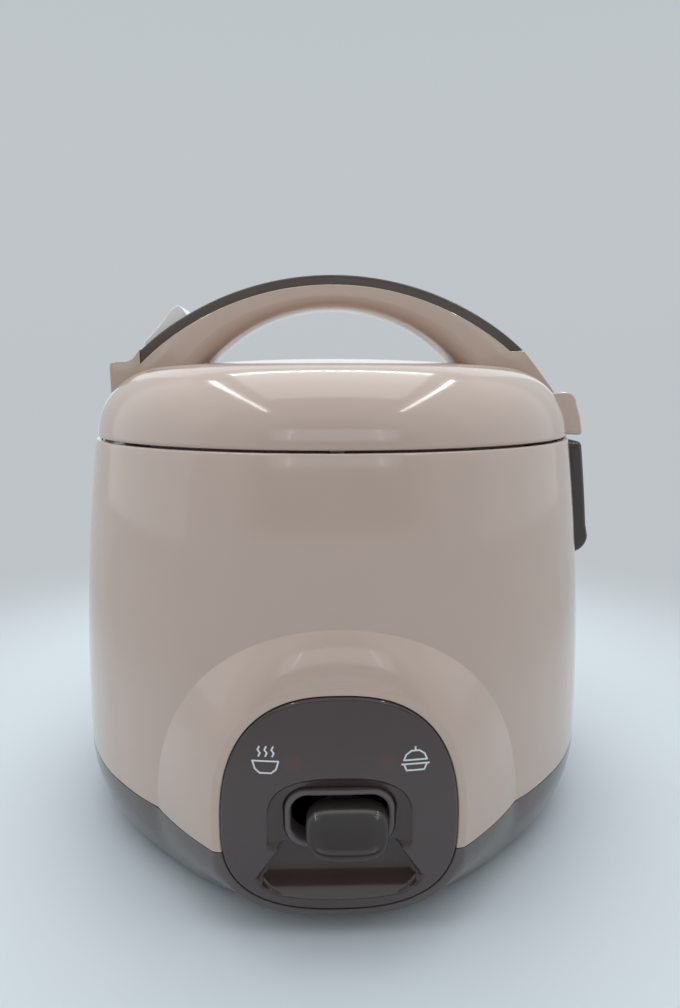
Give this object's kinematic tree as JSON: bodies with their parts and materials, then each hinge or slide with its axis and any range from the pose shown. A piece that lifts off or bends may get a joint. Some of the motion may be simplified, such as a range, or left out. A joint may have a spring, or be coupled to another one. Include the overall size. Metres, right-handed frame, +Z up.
{
  "type": "rice cooker",
  "caption": "Small round rice cooker with a lever switch, a hinged lid with an arched carrying handle, a release button and a pull-off dew collector.",
  "frame": {"origin": "the pot's axis where it meets the table, under the middle of the body", "axes": "+Z up; -Y towards the user, where the control panel is; +X towards the lid's hinge, -X towards its latch"},
  "size_m": [0.2308, 0.2573, 0.229],
  "materials": {
    "beige_shell": "glossy moulded plastic, warm beige",
    "pale_trim": "glossy moulded plastic, light beige",
    "brown_gloss": "glossy dark brown plastic",
    "brown_strip": "satin dark brown plastic",
    "base_brown": "glossy grey-brown plastic",
    "pot_aluminium": "spun aluminium with a grey non-stick coat inside",
    "cast_aluminium": "machined cast aluminium",
    "sheet_steel": "zinc-plated sheet steel",
    "spring_steel": "drawn spring wire",
    "screw_steel": "nickel-plated screws",
    "white_plastic": "white moulded plastic",
    "dark_plastic": "black moulded plastic",
    "foot_rubber": "matt dark rubber",
    "seal_silicone": "translucent white silicone",
    "ferrite": "sintered ferrite",
    "warm_wrap": "glass-fibre heater band",
    "fuse_sleeve": "glass-fibre sleeve",
    "lamp_amber": "amber lamp lens",
    "pin_brass": "nickel-plated brass pins",
    "wire_colours": "insulated wire",
    "plunger_red": "red plunger"
  },
  "bodies": {
    "base": {"body_shell": "beige_shell", "base_shell": "base_brown", "base_screws": "screw_steel", "rubber_feet": "foot_rubber", "upper_ring": "pale_trim", "inner_liner": "sheet_steel", "inner_pot": "pot_aluminium", "heating_plate": "cast_aluminium", "heating_element": "sheet_steel", "heater_posts": "screw_steel", "heat_shield": "sheet_steel", "thermostat_housing": "sheet_steel", "thermostat_cap": "cast_aluminium", "thermostat_ferrite": "ferrite", "thermostat_spring": "spring_steel", "keep_warm_heater": "warm_wrap", "thermal_fuse": "fuse_sleeve", "terminal_block": "white_plastic", "internal_wires": "wire_colours", "lever_bracket": "sheet_steel", "lever_pin": "screw_steel", "lever_spring": "spring_steel", "cook_switch": "dark_plastic", "control_panel": "brown_gloss", "window_bezel": "brown_gloss", "indicator_lamps": "lamp_amber", "power_inlet": "dark_plastic", "inlet_pins": "pin_brass", "hinge_bracket": "beige_shell", "hinge_pin": "screw_steel", "hinge_spring": "spring_steel", "latch_strike": "spring_steel"},
    "lid": {"lid_cover": "beige_shell", "lid_lining": "white_plastic", "lid_plate": "pot_aluminium", "lid_gasket": "seal_silicone", "plate_grommet": "seal_silicone", "lid_screws": "screw_steel", "handle_shell": "beige_shell", "handle_strip": "brown_strip", "button_spring": "spring_steel", "latch_pin": "screw_steel", "latch_spring": "spring_steel", "valve_seat": "pale_trim"},
    "button": {"release_button": "pale_trim"},
    "latch": {"latch_hook": "sheet_steel"},
    "steam_cap": {"steam_cap": "beige_shell"},
    "lever": {"lever_arm": "sheet_steel", "lever_paddle": "brown_gloss"},
    "magnet": {"thermostat_magnet": "ferrite"},
    "plunger": {"switch_plunger": "plunger_red"},
    "dew_cup": {"dew_collector": "brown_strip"}
  },
  "joints": [
    {"name": "lid_hinge", "type": "hinge", "parent": "base", "child": "lid", "pos_m": [0.1035, 0, 0.1695], "axis": [0, 1, 0], "range_deg": [0, 85], "deforming": ["hinge_spring", "latch_strike"]},
    {"name": "release_button_press", "type": "slide", "parent": "lid", "child": "button", "axis": [0.5878, 0, -0.809], "range_m": [0, 0.003], "stiffness_N_per_m": 600, "springref_m": -0.002, "deforming": ["button_spring"]},
    {"name": "latch_swing", "type": "hinge", "parent": "lid", "child": "latch", "pos_m": [-0.089, 0, 0.172], "axis": [0, 1, 0], "range_deg": [0, 7], "deforming": ["latch_spring"]},
    {"name": "steam_cap_lift", "type": "slide", "parent": "lid", "child": "steam_cap", "axis": [0, 0, 1], "range_m": [0, 0.03]},
    {"name": "cook_lever_press", "type": "hinge", "parent": "base", "child": "lever", "pos_m": [0, -0.062, 0.023], "axis": [1, 0, 0], "range_deg": [0, 5.5], "stiffness_Nm_per_rad": 0.5, "springref_deg": -14.32, "deforming": ["lever_spring"]},
    {"name": "magnet_lift", "type": "slide", "parent": "base", "child": "magnet", "axis": [0, 0, 1], "range_m": [0, 0.006], "deforming": ["thermostat_spring"]},
    {"name": "switch_plunger_press", "type": "slide", "parent": "base", "child": "plunger", "axis": [0, 0, -1], "range_m": [0, 0.0018]},
    {"name": "dew_cup_pull", "type": "slide", "parent": "base", "child": "dew_cup", "axis": [1, 0, 0], "range_m": [0, 0.03]}
  ],
  "couplings": [
    {"joint": "latch_swing", "follows": "release_button_press", "rad_per_m": 40},
    {"joint": "magnet_lift", "follows": "cook_lever_press", "m_per_rad": 0.062},
    {"joint": "switch_plunger_press", "follows": "cook_lever_press", "m_per_rad": 0.018}
  ]
}
